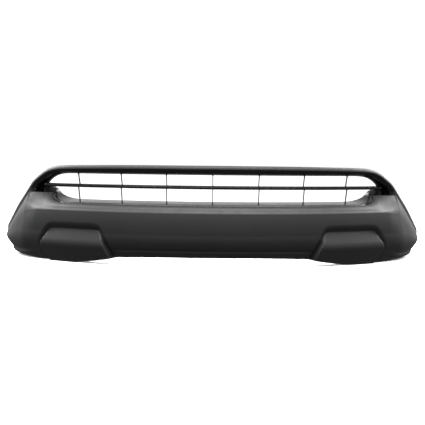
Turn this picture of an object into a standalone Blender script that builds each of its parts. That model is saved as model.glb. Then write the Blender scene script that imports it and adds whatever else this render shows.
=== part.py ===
"""Front lower bumper cover: a textured skin with a wide slot, a black grille insert, end brackets,
screws and spring nuts.  Metres, +Z up, the front faces -Y, the origin is the bottom centre.

The skin is a section swept along a bowed plan line.  s is the distance along that line from the
centre, d is how far a point lies inside it (square to it) and z is its height.
"""
import math

import bmesh
import bpy
from mathutils import Matrix, Vector

# ---- driving dimensions -------------------------------------------------------------------------
WALL = 0.003                 # skin thickness
INSERT_WALL = 0.0025         # grille insert thickness
FIT_GAP = 0.0004             # clearance between pieces that touch

# plan line: (length, direction at its end in degrees from the centre tangent)
BOW_RADIUS = 1.25
PLAN_ARCS = ((0.745, 34.15), (0.035, 46.0), (0.100, 60.0), (0.080, 76.0), (0.060, 84.0))
S_END = sum(arc[0] for arc in PLAN_ARCS)
S_SLOT = 0.748               # where the slot closes

# heights
FLANGE_Z = 0.345
CREASE_Z = 0.190
LOWER_CREASE_Z = 0.084
WING_CREASE_Z = 0.063
SHELF_Z = 0.214
STEP_Z = 0.248

# section depths
CREASE_D = 0.004
SHELF_SLOPE = 1.14
TUCK_D = 0.040
WING_TUCK_D = 0.052
FLANGE_W = 0.055
BOTTOM_FLANGE_W = 0.032
ARCH_FLANGE_W = 0.022

# top parting line, height against s
TOP_LINE = ((0.0, 0.353), (0.30, 0.3525), (0.45, 0.351), (0.56, 0.3495), (0.61, 0.347), (0.655, 0.338),
            (0.70, 0.318), (0.74, 0.292), (0.78, 0.2485), (0.83, 0.200), (0.88, 0.155), (0.93, 0.124),
            (0.97, 0.115), (1.02, 0.113))
# how far the rim or top edge lies inside the plan line
LIP_LINE = ((0.0, 0.025), (0.55, 0.027), (0.65, 0.034), (0.74, 0.038), (0.78, 0.029), (0.83, 0.020),
            (0.88, 0.013), (0.94, 0.007), (1.02, 0.006))
# lowest edge, height against s
BOTTOM_LINE = ((0.0, 0.0300), (0.17, 0.0287), (0.34, 0.0243), (0.36, 0.0225), (0.40, 0.0155),
               (0.436, 0.0100), (0.47, 0.0055), (0.50, 0.0020), (0.525, 0.0), (0.975, 0.0), (1.02, 0.012))

# rim nose and underside
NOSE_D = 0.0105
NOSE_DROP = 0.0125
UNDER_D = 0.018
UNDER_DROP = 0.0115
TUCK_STEP = 0.008

# grille
BAR_Z = 0.276
BAR_H = 0.0125
RIB_PITCH = 0.162
RIB_T = 0.0029
RIB_FRONT_LOW = 0.079
RIB_FRONT_HIGH = 0.069
WINDOW_TOP = 0.319
WINDOW_BOTTOM = 0.2225

# places of holes and fasteners along the plan line
INSERT_SCREWS_S = (0.08, 0.24, 0.40, 0.52)
BRACKET_SCREWS_S = (0.865, 0.915)
BOTTOM_HOLES_S = (0.08, 0.32)
CLIP_SLOTS_S = (0.16, 0.32)

# skid pad: straight edges as (point, inward direction) in (s, z), rounded where they meet
RECESS_EDGES = (((0.50, 0.1470), (0.0, -1.0)), ((0.3770, 0.080), (0.925, -0.38)),
                ((0.6820, 0.074), (-0.780, -0.626)), ((0.6860, 0.040), (-1.0, 0.0)))
PAD_EDGES = (((0.50, 0.1245), (0.0, -1.0)), ((0.3890, 0.075), (0.925, -0.38)),
             ((0.6625, 0.076), (-0.780, -0.626)), ((0.6695, 0.050), (-1.0, 0.0)),
             ((0.650, 0.014), (-0.85, 0.53)))
RECESS_ROUND = 0.020
PAD_ROUND = 0.011
RECESS_DEPTH = 0.0105
PAD_TOP_Z = 0.1245
PAD_CREASE_Z = 0.0715
PAD_CREASE_D = -0.003
PAD_BOTTOM_D = 0.027
HOLE_HALF = 0.0079           # half-width of a screw or clip hole


# ---- small maths --------------------------------------------------------------------------------
def clamp01(t):
    return max(0.0, min(1.0, t))


def smooth(low, high, value):
    t = clamp01((value - low) / (high - low))
    return t * t * (3 - 2 * t)


def mix(a, b, t):
    return a + (b - a) * t


def spline(points, value):
    """Smooth curve through points, with the slope at each taken from its neighbours."""
    xs = [p[0] for p in points]
    ys = [p[1] for p in points]
    if value <= xs[0]:
        return ys[0]
    if value >= xs[-1]:
        return ys[-1]
    k = max(i for i in range(len(xs) - 1) if xs[i] <= value)
    slopes = []
    for i in (k, k + 1):
        low, high = max(i - 1, 0), min(i + 1, len(xs) - 1)
        slopes.append((ys[high] - ys[low]) / (xs[high] - xs[low]))
    h = xs[k + 1] - xs[k]
    t = (value - xs[k]) / h
    return ((2 * t ** 3 - 3 * t ** 2 + 1) * ys[k] + (t ** 3 - 2 * t ** 2 + t) * h * slopes[0]
            + (3 * t ** 2 - 2 * t ** 3) * ys[k + 1] + (t ** 3 - t ** 2) * h * slopes[1])


def plan(s):
    """Point and direction of the plan line at distance s from the centre, right-hand side."""
    x = y = angle = 0.0
    for length, end_deg in PLAN_ARCS:
        end = math.radians(end_deg)
        part = min(s, length)
        radius = length / (end - angle)
        turn = angle + part / radius
        x += radius * (math.sin(turn) - math.sin(angle))
        y += radius * (math.cos(angle) - math.cos(turn))
        angle = turn
        s -= part
        if s <= 1e-9:
            break
    return x, y, angle


def place(s, d, z):
    """World point for plan distance s (negative on the left), inward offset d and height z."""
    x, y, angle = plan(abs(s))
    x -= d * math.sin(angle)
    y += d * math.cos(angle)
    return Vector((math.copysign(x, s) if s else 0.0, y, z))


# ---- the section of the skin --------------------------------------------------------------------
# rows in each stretch of the section: lip, fillet, face, tuck fillet, tuck, bottom edge
ROWS = {"lip": 2, "under": 2, "shelf": 1, "crease": 2, "face": 8, "low": 3, "tuck": 4, "edge": 2}


def top_z(s):
    return spline(TOP_LINE, s)


def lip_d(s):
    return spline(LIP_LINE, s)


def rim_drop(s):
    """Vertical stretch of the rim where its line slants."""
    slope = (top_z(s + 0.004) - top_z(s - 0.004)) / 0.008
    return math.sqrt(1 + min(slope * slope, 1.6))


def wing_share(s):
    return smooth(0.685, 0.79, s)


def bottom_z(s):
    return max(0.0, spline(BOTTOM_LINE, s))


def under_share(s):
    """How much of the rim's underside is there: all of it, until the slot closes."""
    return 1 - smooth(0.700, 0.752, s)


def rim_end(s):
    """Bottom edge of the rim's underside."""
    share = under_share(s)
    drop = NOSE_DROP * rim_drop(s) + mix(0.0040, UNDER_DROP, share)
    return lip_d(s) + mix(0.0002, UNDER_D, share), top_z(s) - drop


def shelf_edge(s):
    """Rear edge of the shelf in front of the slot, then the top of the side wall."""
    rise = clamp01((s - 0.577) / 0.086)
    z = SHELF_Z + (STEP_Z - SHELF_Z) * (1 - math.sqrt(max(0.0, 1 - rise * rise)))
    d = CREASE_D + SHELF_SLOPE * (z - CREASE_Z)
    near = smooth(0.655, S_SLOT, s)
    rim_low = rim_end(s)[1]
    if s > S_SLOT:
        return lip_d(s), rim_low - mix(0.005, 0.010, smooth(S_SLOT, 0.84, s))
    return mix(d, lip_d(S_SLOT) + 0.001, near), min(z, rim_low - 0.005)


def crown(t):
    return 4 * t * (1 - t)


def early_peak(t):
    """Rises quickly to one at the peak, then falls away."""
    peak = 0.15
    return t / peak * math.exp(1 - t / peak)


def corner(before, point, after, setback, count):
    """Rounded corner: points on a parabola that leaves each side at the setback distance."""
    reach_in = min(setback, 0.45 * (point - before).length)
    reach_out = min(setback, 0.45 * (after - point).length)
    start = point + (before - point).normalized() * reach_in
    end = point + (after - point).normalized() * reach_out
    out = []
    for k in range(count + 1):
        t = k / count
        out.append(start * (1 - t) ** 2 + point * (2 * t * (1 - t)) + end * t * t)
    return out


def rim_profile(s, rows):
    """Flange, joggle and rolled lip, from the flange's rear edge to the bottom of the lip."""
    d, z, k = lip_d(s), top_z(s), rim_drop(s)
    width = mix(FLANGE_W, 0.030, smooth(0.57, 0.63, s))
    flat = mix(FLANGE_Z, z - 0.008 * k, smooth(0.55, 0.61, s))
    out = [(d + width, flat), (d + width - 0.009, flat), (d + width - 0.019, flat), (d + 0.0155, flat)]
    out += [(d + 0.0135, z - 0.0015 * k), (d + NOSE_D, z)]
    steps = rows["lip"]
    for n in range(1, steps + 1):
        turn = math.radians(90) * n / steps
        out.append((d + NOSE_D * (1 - math.sin(turn)), z - NOSE_DROP * k * (1 - math.cos(turn))))
    nose, end = Vector(out[-1]), Vector(rim_end(s))
    bend = nose - Vector((0, 0.0025))
    steps = rows["under"]
    for n in range(1, steps + 1):
        t = n / steps
        out.append(tuple(nose * (1 - t) ** 2 + bend * (2 * t * (1 - t)) + end * t * t))
    return out


def skin_profile(s, rows):
    """Shelf (or side wall), face, tuck and bottom flange, as (d, z) rows."""
    share = wing_share(s)
    a_d, a_z = shelf_edge(s)
    low_z = mix(LOWER_CREASE_Z, WING_CREASE_Z, share)
    b_z = mix(CREASE_Z, mix(low_z, a_z, 0.70), share)
    lean = a_d / max(a_z - low_z, 0.004)
    b_d = mix(CREASE_D, 0.70 * lean * (b_z - low_z), share)
    c_d = mix(CREASE_D, 0.001, share)
    e_d, e_z = mix(TUCK_D, WING_TUCK_D, share), bottom_z(s)
    a, b, c = Vector((a_d, a_z)), Vector((b_d, b_z)), Vector((c_d, low_z))
    e, g = Vector((e_d, e_z)), Vector((e_d + BOTTOM_FLANGE_W, e_z))
    soft_b = mix(0.006, 0.030, smooth(0.66, 0.78, s))
    soft_c = mix(0.028, 0.044, share)
    start = corner(a, b, c, soft_b, 2)[0]
    swell = Vector((-0.0026, 0.0030)) * (1 - share)
    steps = rows["shelf"] + 1
    out = [a.lerp(start, n / steps) + swell * crown(n / steps) for n in range(steps)]
    out += corner(a, b, c, soft_b, rows["crease"])
    first, last = out[-1], corner(b, c, e, soft_c, 2)[0]
    for n in range(1, rows["face"]):
        t = n / rows["face"]
        out.append(first.lerp(last, t) - Vector((0.0025 * crown(t) * (1 - share), 0)))
    out += corner(b, c, e, soft_c, rows["low"])
    first, last = out[-1], corner(c, e, g, 0.010, 2)[0]
    step = TUCK_STEP * (1 - smooth(0.33, 0.37, s))
    for n in range(1, rows["tuck"]):
        t = n / rows["tuck"]
        out.append(first.lerp(last, t) + Vector((step * early_peak(t) - 0.012 * share * crown(t), 0)))
    out += corner(c, e, g, 0.010, rows["edge"])
    out += [g - Vector((0.018, 0)), g - Vector((0.008, 0)), g]
    return [tuple(r) for r in out]


def edge_distance(edges, s, z, rounding):
    """Distance inside a rounded shape bounded by straight edges, negative outside."""
    total = 0.0
    for (s0, z0), (ns, nz) in edges:
        total += math.exp(-((s - s0) * ns + (z - z0) * nz) / (rounding * 0.45))
    return -math.log(total) * rounding * 0.45


def padded_depth(s, d, z):
    """Inward offset of the skin with the skid pad and the recess round it."""
    if not (0.31 < s < 0.73 and z < 0.165):
        return d
    ring = edge_distance(RECESS_EDGES, s, z, RECESS_ROUND)
    pad = edge_distance(PAD_EDGES, s, z, PAD_ROUND)
    fade = mix(1.0, 0.35, smooth(0.075, 0.045, z))
    into = clamp01((ring + 0.003) / max(ring + 0.003 - min(pad, 0.0), 1e-5))
    recess = d + RECESS_DEPTH * fade * (into * into * (1.6 - 0.6 * into))
    if z > PAD_CREASE_Z:
        face = mix(PAD_CREASE_D, CREASE_D + RECESS_DEPTH, (z - PAD_CREASE_Z) / (PAD_TOP_Z - PAD_CREASE_Z))
    else:
        face = mix(PAD_CREASE_D, PAD_BOTTOM_D, (PAD_CREASE_Z - z) / PAD_CREASE_Z)
    face += 0.0022 * math.exp(-((z - PAD_CREASE_Z) / 0.006) ** 2)
    return mix(recess, face, smooth(-0.001, 0.0045, pad))


def skin_rows(s, rows):
    """Every row of the section at |s| as world points, rim rows first."""
    side = abs(s)
    rim = [place(s, d, z) for d, z in rim_profile(side, rows)]
    profile = skin_profile(side, rows)
    moved = len(profile) - 4
    lower = [place(s, padded_depth(side, d, z) if n < moved else d, z) for n, (d, z) in enumerate(profile)]
    return rim, lower


# ---- meshes -------------------------------------------------------------------------------------
def thick_sheet(points, quads, wall):
    """Close a sheet of quads into a solid wall on the side away from its normals."""
    points = [Vector(p) for p in points]
    normals = [Vector((0, 0, 0)) for _ in points]
    for quad in quads:
        corners = [points[i] for i in quad]
        facing = (corners[2] - corners[0]).cross(corners[3] - corners[1])
        if facing.length < 1e-12:
            continue
        for i in quad:
            normals[i] += facing.normalized()
    count = len(points)
    inner = [p - n.normalized() * wall for p, n in zip(points, normals)]
    owner = {}
    for quad in quads:
        for k in range(4):
            owner[(quad[k], quad[(k + 1) % 4])] = True
    faces = [tuple(q) for q in quads] + [tuple(i + count for i in reversed(q)) for q in quads]
    for a, b in owner:
        if (b, a) not in owner:
            faces.append((b, a, a + count, b + count))
    return points + inner, faces


def make_object(name, points, faces, material, sharp_deg=35):
    mesh = bpy.data.meshes.new(name)
    mesh.from_pydata([tuple(p) for p in points], [], faces)
    work = bmesh.new()
    work.from_mesh(mesh)
    bmesh.ops.delete(work, geom=[v for v in work.verts if not v.link_faces], context="VERTS")
    bmesh.ops.triangulate(work, faces=work.faces[:])
    work.to_mesh(mesh)
    work.free()
    mesh.shade_smooth()
    mesh.set_sharp_from_angle(angle=math.radians(sharp_deg))
    mesh.materials.append(material)
    thing = bpy.data.objects.new(name, mesh)
    bpy.context.collection.objects.link(thing)
    return thing


# stretches of the plan line and the number of cuts in each, closer where the shape turns
CUT_SPANS = ((0.0, 0.072, 1), (0.072, 0.088, 1), (0.088, 0.152, 1), (0.152, 0.168, 1), (0.168, 0.232, 1),
             (0.232, 0.248, 1), (0.248, 0.312, 1), (0.312, 0.328, 1), (0.328, 0.346, 1), (0.346, 0.364, 1),
             (0.364, 0.392, 2), (0.392, 0.408, 1), (0.408, 0.512, 3), (0.512, 0.528, 1), (0.528, 0.577, 1),
             (0.577, 0.632, 3), (0.632, 0.664, 3), (0.664, 0.705, 2), (0.705, S_SLOT, 2), (S_SLOT, 0.780, 2),
             (0.780, 0.857, 4), (0.857, 0.873, 1), (0.873, 0.907, 1), (0.907, 0.923, 1), (0.923, S_END, 4))


def skin_cuts():
    """Plan distances of the section cuts, from the left end to the right."""
    cuts = [0.0]
    for low, high, count in CUT_SPANS:
        cuts += [low + (high - low) * (n + 1) / count for n in range(count)]
    return [-s for s in reversed(cuts[1:])] + cuts


def skin_mesh():
    """The skin's outer surface as points and quads."""
    cuts = skin_cuts()
    grid, lip_rows = [], 0
    for s in cuts:
        rim, lower = skin_rows(s, ROWS)
        lip_rows = len(rim)
        grid.append(rim + lower)
    row_count = len(grid[0])
    points = [p for column in grid for p in column]

    def index(i, j):
        return i * row_count + j

    flange_holes = CLIP_SLOTS_S + INSERT_SCREWS_S + BRACKET_SCREWS_S
    quads = []
    for i in range(len(cuts) - 1):
        middle = abs(cuts[i] + cuts[i + 1]) / 2
        for j in range(row_count - 1):
            in_slot = j == lip_rows - 1 and middle < S_SLOT
            in_hole = j == 1 and any(abs(middle - c) < HOLE_HALF for c in flange_holes)
            in_nut = j == row_count - 3 and any(abs(middle - c) < HOLE_HALF for c in BOTTOM_HOLES_S)
            if not (in_slot or in_hole or in_nut):
                quads.append((index(i, j), index(i, j + 1), index(i + 1, j + 1), index(i + 1, j)))
    add_slot_return(points, quads, cuts, index, lip_rows)
    add_arch_flanges(points, quads, cuts, index, row_count)
    return points, quads


def add_slot_return(points, quads, cuts, index, lip_rows):
    """Turn the slot's edge inwards: back under the rim and down behind the shelf."""
    inside = [i for i, s in enumerate(cuts) if abs(s) <= S_SLOT + 1e-6]
    loop = [index(i, lip_rows - 1) for i in inside] + [index(i, lip_rows) for i in reversed(inside)]
    extra = []
    for position, vertex in enumerate(loop):
        s = cuts[vertex // index(1, 0)]
        _, _, angle = plan(abs(s))
        inward = Vector((-math.copysign(math.sin(angle), s), math.cos(angle), 0))
        end = smooth(0.70, S_SLOT, abs(s))
        if position < len(inside):
            move = inward * mix(0.004, 0.022, end) + Vector((0, 0, 0.001))
        else:
            move = inward * mix(0.0015, 0.022, end) + Vector((0, 0, mix(-0.011, -0.003, end)))
        extra.append(len(points))
        points.append(points[vertex] + move)
    for k in range(len(loop)):
        n = (k + 1) % len(loop)
        quads.append((loop[n], loop[k], extra[k], extra[n]))


def add_arch_flanges(points, quads, cuts, index, row_count):
    """Turn the rear end of each wing inwards, at the wheel arch."""
    for i, side in ((0, -1), (len(cuts) - 1, 1)):
        _, _, angle = plan(S_END)
        inward = Vector((-side * math.sin(angle), math.cos(angle), 0)) * ARCH_FLANGE_W
        rows = range(5, row_count - 4)
        extra = {}
        for j in rows:
            extra[j] = len(points)
            points.append(points[index(i, j)] + inward)
        for j in list(rows)[:-1]:
            quad = (index(i, j), index(i, j + 1), extra[j + 1], extra[j])
            quads.append(quad if side > 0 else tuple(reversed(quad)))


# ---- materials ----------------------------------------------------------------------------------
def plastic(name, colour, roughness, metallic=0.0):
    material = bpy.data.materials.new(name)
    material.use_nodes = True
    shader = material.node_tree.nodes["Principled BSDF"]
    shader.inputs["Base Color"].default_value = (*colour, 1.0)
    shader.inputs["Roughness"].default_value = roughness
    shader.inputs["Metallic"].default_value = metallic
    return material


# ---- grille insert ------------------------------------------------------------------------------
# window point, outer point, top share, wall share and bottom share, round the right-hand end
SURROUND = (
    (0.560, 0.3190, 0.560, 0.3395, 1.0, 0.0, 0.0), (0.600, 0.3188, 0.612, 0.3320, 0.6, 0.4, 0.0),
    (0.635, 0.3172, 0.662, 0.3215, 0.1, 0.9, 0.0), (0.665, 0.3120, 0.712, 0.2975, 0.0, 1.0, 0.0),
    (0.690, 0.3020, 0.740, 0.2775, 0.0, 1.0, 0.0), (0.708, 0.2905, 0.764, 0.2590, 0.0, 1.0, 0.0),
    (0.716, 0.2800, 0.770, 0.2440, 0.0, 1.0, 0.0), (0.694, 0.2710, 0.762, 0.2310, 0.0, 0.8, 0.0),
    (0.672, 0.2610, 0.742, 0.2220, 0.0, 0.3, 0.0), (0.665, 0.2500, 0.710, 0.2170, 0.0, 0.0, 0.1),
    (0.655, 0.2390, 0.682, 0.2080, 0.0, 0.0, 0.3), (0.638, 0.2300, 0.650, 0.2010, 0.0, 0.0, 0.6),
    (0.612, 0.2240, 0.615, 0.1970, 0.0, 0.0, 0.9), (0.573, 0.2225, 0.573, 0.1950, 0.0, 0.0, 1.0))
TOP_CUTS = (0.0, 0.072, 0.088, 0.160, 0.232, 0.248, 0.320, 0.392, 0.408, 0.460, 0.512, 0.528)
LOW_CUTS = (0.500, 0.420, 0.340, 0.260, 0.180, 0.090, 0.0)
# each row: place between the window's edge (0) and the outer edge (1), and depth
TOP_ROWS = ((1.0, 0.078), (1.0, 0.071), (1.0, 0.061), (1.0, 0.054), (0.72, 0.054), (0.42, 0.054),
            (0.22, 0.061), (0.09, 0.073), (0.02, 0.088), (0.0, 0.104))
WALL_ROWS = ((1.03, 0.079), (1.02, 0.074), (1.01, 0.071), (1.0, 0.069), (0.99, 0.078), (0.96, 0.087),
             (0.86, 0.093), (0.10, 0.094), (0.03, 0.096), (0.0, 0.106))
END_ROWS = ((1.02, 0.112), (1.01, 0.107), (1.0, 0.102), (1.0, 0.096), (0.70, 0.094), (0.40, 0.094),
            (0.20, 0.094), (0.10, 0.095), (0.03, 0.098), (0.0, 0.112))
LOW_ROWS = ((1.0, 0.072), (1.0, 0.068), (1.0, 0.063), (1.0, 0.058), (0.72, 0.058), (0.54, 0.058),
            (0.40, 0.0592), (0.28, 0.0640), (0.14, 0.088), (0.0, 0.150))
EDGE_ROW = 4                 # rows from here to the window are rounded
ROW_STEPS = 1
END_STEPS = 1
TOP_STEPS = 1


def surround_ring():
    """Half of the ring round the window, from the top centre to the bottom centre."""
    ring = [(s, WINDOW_TOP, s, FLANGE_Z - WALL - FIT_GAP, 1.0, 0.0, 0.0) for s in TOP_CUTS]
    ring += list(SURROUND)
    ring += [(s, WINDOW_BOTTOM, s, 0.196, 0.0, 0.0, 1.0) for s in LOW_CUTS]
    return ring


def surround_stations():
    """The ring's cuts, with extra ones where it bends round the end of the slot."""
    ring = surround_ring()
    first_bend, last_bend = len(TOP_CUTS), len(TOP_CUTS) + len(SURROUND) - 1
    tracks = [[(i, station[c]) for i, station in enumerate(ring)] for c in range(7)]
    out = []
    for n in range(len(ring) - 1):
        if first_bend <= n < last_bend:
            out += [tuple(spline(track, n + k / END_STEPS) for track in tracks) for k in range(END_STEPS)]
        else:
            pairs = list(zip(ring[n], ring[n + 1]))
            out += [tuple(mix(a, b, k / TOP_STEPS) for a, b in pairs) for k in range(TOP_STEPS)]
    out.append(ring[-1])
    return out


def surround_column(station, side):
    window_s, window_z, outer_s, outer_z, top, wall, low = station
    shares = (top, wall, low, 1 - top - wall - low)
    keys = []
    for row in zip(TOP_ROWS, WALL_ROWS, LOW_ROWS, END_ROWS):
        keys.append(tuple(sum(share * r[c] for share, r in zip(shares, row)) for c in range(2)))
    rounded = keys[EDGE_ROW:]
    tracks = [[(i, key[c]) for i, key in enumerate(rounded)] for c in range(2)]
    steps = (len(rounded) - 1) * ROW_STEPS
    rows = keys[:EDGE_ROW] + [tuple(spline(track, n / ROW_STEPS) for track in tracks) for n in range(steps + 1)]
    return [place(side * mix(window_s, outer_s, out), d, mix(window_z, outer_z, out)) for out, d in rows]


def surround_mesh():
    """Ring of the insert: upper tab, pocket panels and the lead-in round the window."""
    ring = surround_stations()
    mirrored = list(reversed(ring[1:-1]))
    columns = [surround_column(st, 1) for st in ring] + [surround_column(st, -1) for st in mirrored]
    everyone = ring + mirrored
    rows = len(columns[0])
    points = [p for column in columns for p in column]
    quads = []
    for i in range(len(columns)):
        n = (i + 1) % len(columns)
        middle = (everyone[i][0] + everyone[n][0]) / 2
        on_tab = everyone[i][4] > 0.99 and everyone[n][4] > 0.99
        for j in range(rows - 1):
            if j == 1 and on_tab and any(abs(middle - c) < HOLE_HALF for c in INSERT_SCREWS_S):
                continue
            quads.append((i * rows + j, i * rows + j + 1, n * rows + j + 1, n * rows + j))
    return thick_sheet(points, quads, INSERT_WALL)


def loft(sections):
    """Closed solid through equal closed sections, capped at both ends."""
    count = len(sections[0])
    points = [p for section in sections for p in section]
    faces = []
    for i in range(len(sections) - 1):
        for j in range(count):
            n = (j + 1) % count
            faces.append((i * count + j, i * count + n, (i + 1) * count + n, (i + 1) * count + j))
    faces.append(tuple(reversed(range(count))))
    last = (len(sections) - 1) * count
    faces.append(tuple(range(last, last + count)))
    return points, faces


def bar_sections(reach):
    """Horizontal bar with a slightly rounded nose."""
    low, high = BAR_Z - BAR_H / 2, BAR_Z + BAR_H / 2
    outline = ((0.068, low + 0.002), (0.068, high - 0.003), (0.072, high), (0.092, high),
               (0.092, low), (0.070, low))
    steps = 24
    sections = []
    for n in range(steps + 1):
        s = mix(-reach, reach, n / steps)
        sections.append([place(s, d, z) for d, z in outline])
    return sections


def rib_sections(x, low, high):
    """Thin upright rib that lies further back at the bottom of its cell than at the top."""
    s = math.copysign(BOW_RADIUS * math.asin(abs(x) / (BOW_RADIUS - 0.08)), x)
    half, back = RIB_T / 2, 0.0125
    outline = ((-half, 0), (half, 0), (half, back), (-half, back))
    sections = []
    for z, front in ((low, RIB_FRONT_LOW), (high, RIB_FRONT_HIGH)):
        centre = place(s, front, z)
        sections.append([centre + Vector((u, v, 0)) for u, v in outline])
    return sections


def union(target, tool):
    """Add the tool's solid to the target and remove the tool."""
    modifier = target.modifiers.new("join", "BOOLEAN")
    modifier.operation = "UNION"
    modifier.solver = "EXACT"
    modifier.object = tool
    apply_modifiers(target)
    bpy.data.objects.remove(tool, do_unlink=True)


def difference(target, tool):
    modifier = target.modifiers.new("cut", "BOOLEAN")
    modifier.operation = "DIFFERENCE"
    modifier.solver = "EXACT"
    modifier.object = tool
    apply_modifiers(target)
    bpy.data.objects.remove(tool, do_unlink=True)


def apply_modifiers(thing):
    bpy.context.view_layer.update()
    graph = bpy.context.evaluated_depsgraph_get()
    mesh = bpy.data.meshes.new_from_object(thing.evaluated_get(graph))
    old = thing.data
    thing.modifiers.clear()
    thing.data = mesh
    bpy.data.meshes.remove(old)


def make_grille(material):
    points, faces = surround_mesh()
    grille = make_object("grille_insert", points, faces, material)
    bar = make_object("bar", *loft(bar_sections(0.708)), material)
    union(grille, bar)
    for n in range(-3, 4):
        for low, high in ((WINDOW_BOTTOM - 0.0055, BAR_Z - 0.002), (BAR_Z + 0.002, WINDOW_TOP + 0.0015)):
            rib = make_object("rib", *loft(rib_sections(n * RIB_PITCH, low, high)), material)
            union(grille, rib)
    return grille


# ---- fasteners and brackets ---------------------------------------------------------------------
def turned(profile, segments=10):
    """Solid of revolution about Z from (radius, z) pairs that start and end on the axis."""
    points = [Vector((0, 0, profile[0][1]))]
    for radius, z in profile[1:-1]:
        for n in range(segments):
            turn = 2 * math.pi * n / segments
            points.append(Vector((radius * math.cos(turn), radius * math.sin(turn), z)))
    points.append(Vector((0, 0, profile[-1][1])))
    faces = []
    rings = len(profile) - 2
    for n in range(segments):
        m = (n + 1) % segments
        faces.append((0, 1 + m, 1 + n))
        for r in range(rings - 1):
            base, top = 1 + r * segments, 1 + (r + 1) * segments
            faces.append((base + n, base + m, top + m, top + n))
        base = 1 + (rings - 1) * segments
        faces.append((base + n, base + m, len(points) - 1))
    return points, faces


def screw_shape(length):
    """Pan-head screw, head down, with its seat at z = 0 and the shank above."""
    head, shank = 0.0045, 0.0019
    return turned(((0, -0.0022), (0.6 * head, -0.0022), (0.9 * head, -0.0016), (head, -0.0006), (head, 0),
                   (shank, 0), (shank, length - 0.0012), (0.5 * shank, length), (0, length)))


def side_name(s):
    return "right" if s > 0 else "left"


def make_insert_screws(material):
    """Screws from below, through the insert's tab into the upper flange."""
    seat = FLANGE_Z - WALL - FIT_GAP - INSERT_WALL - FIT_GAP
    length = FLANGE_Z - 0.0004 - seat
    for side in (-1, 1):
        for n, s in enumerate(INSERT_SCREWS_S, 1):
            name = "grille_screw_%s_%d" % (side_name(side), n)
            screw = make_object(name, *screw_shape(length), material)
            screw.location = place(side * s, 0.066 + lip_d(s) - lip_d(0.0), seat)


def ledge_z(s):
    """Top of a bracket's ledge: just under the wing's slanting top flange."""
    return top_z(s) - (0.008 + WALL + 3 * FIT_GAP) * rim_drop(s)


def bracket_rows(s, side):
    """Ledge under the wing's top flange, then a wall down beside the skin, as world points."""
    d, z = lip_d(s), ledge_z(s)
    rows = ((d + 0.040, z - 0.012), (d + 0.040, z), (d + 0.021, z), (d + 0.011, z), (d + 0.0085, z),
            (d + 0.0085, z - 0.026))
    return [place(side * s, row_d, row_z) for row_d, row_z in rows]


def make_bracket(side, material):
    cuts = (0.832, 0.857, 0.873, 0.890, 0.907, 0.923, 0.945)
    columns = [bracket_rows(s, side) for s in cuts]
    rows = len(columns[0])
    points = [p for column in columns for p in column]
    quads = []
    for i in range(len(cuts) - 1):
        middle = (cuts[i] + cuts[i + 1]) / 2
        for j in range(rows - 1):
            if j == 2 and any(abs(middle - c) < HOLE_HALF for c in BRACKET_SCREWS_S):
                continue
            quad = (i * rows + j, i * rows + j + 1, (i + 1) * rows + j + 1, (i + 1) * rows + j)
            quads.append(quad if side > 0 else tuple(reversed(quad)))
    name = "end_bracket_" + side_name(side)
    make_object(name, *thick_sheet(points, quads, INSERT_WALL), material)


def nut_shape():
    """Spring nut: a folded strip that grips a flange edge, with a threaded barrel on one leg.

    It lies open towards -Y with its fold at y = 0, and grips a sheet between z = 0 and z = WALL.
    """
    gap, strip, width, length = FIT_GAP, 0.0009, 0.007, 0.019
    low, high = -gap, WALL + gap
    outline = ((-length, low), (0.0003, low), (0.0003, high), (-length, high), (-length - 0.002, high + 0.0016),
               (-length - 0.002, high + 0.0016 + strip), (-length, high + strip), (strip, high + strip),
               (strip, low - strip), (-length, low - strip))
    return [[Vector((x, y, z)) for y, z in outline] for x in (-width, width)]


def make_nut(name, material):
    sections = nut_shape()
    points, faces = loft(sections)
    nut = make_object(name, points, faces, material, 20)
    top = WALL + FIT_GAP
    barrel = make_object("barrel", *turned(((0, top + 0.0004), (0.0042, top + 0.0004), (0.0042, top + 0.0055),
                                            (0, top + 0.0055)), 12), material)
    barrel.location = (0, -0.013, 0)
    union(nut, barrel)
    bore = make_object("bore", *turned(((0, -0.01), (0.0025, -0.01), (0.0025, 0.02), (0, 0.02)), 12), material)
    bore.location = (0, -0.013, 0)
    difference(nut, bore)
    return nut


def make_bottom_nuts(material):
    """Nuts on the rear edge of the bottom flange, for the undertray bolts."""
    for side in (-1, 1):
        for n, s in enumerate(BOTTOM_HOLES_S, 1):
            nut = make_nut("undertray_nut_%s_%d" % (side_name(side), n), material)
            _, _, angle = plan(s)
            edge = place(side * s, TUCK_D + BOTTOM_FLANGE_W, bottom_z(s))
            tilt = math.atan((bottom_z(s + 0.01) - bottom_z(s - 0.01)) / 0.02)
            nut.matrix_world = (Matrix.Translation(edge) @ Matrix.Rotation(side * angle, 4, "Z")
                                @ Matrix.Rotation(-side * tilt, 4, "Y"))


def make_bracket_screws(material):
    """Screws square to each end bracket's slanting ledge, up into the wing's top flange."""
    for side in (-1, 1):
        for n, s in enumerate(BRACKET_SCREWS_S, 1):
            screw = make_object("bracket_screw_%s_%d" % (side_name(side), n), *screw_shape(0.0060), material)
            _, _, angle = plan(s)
            slope = (ledge_z(s + 0.008) - ledge_z(s - 0.008)) / 0.016
            up = Vector((-slope * side * math.cos(angle), -slope * math.sin(angle), 1)).normalized()
            out = Vector((side * math.sin(angle), -math.cos(angle), 0))
            seat = place(side * s, lip_d(s) + 0.016, ledge_z(s)) - up * (INSERT_WALL + 2 * FIT_GAP)
            turn = Matrix((out, up.cross(out), up)).transposed().to_4x4()
            screw.matrix_world = Matrix.Translation(seat) @ turn


def make_skin(material):
    points, quads = skin_mesh()
    return make_object("cover_skin", *thick_sheet(points, quads, WALL), material)


def clear_scene():
    for thing in list(bpy.data.objects):
        bpy.data.objects.remove(thing, do_unlink=True)


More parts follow.
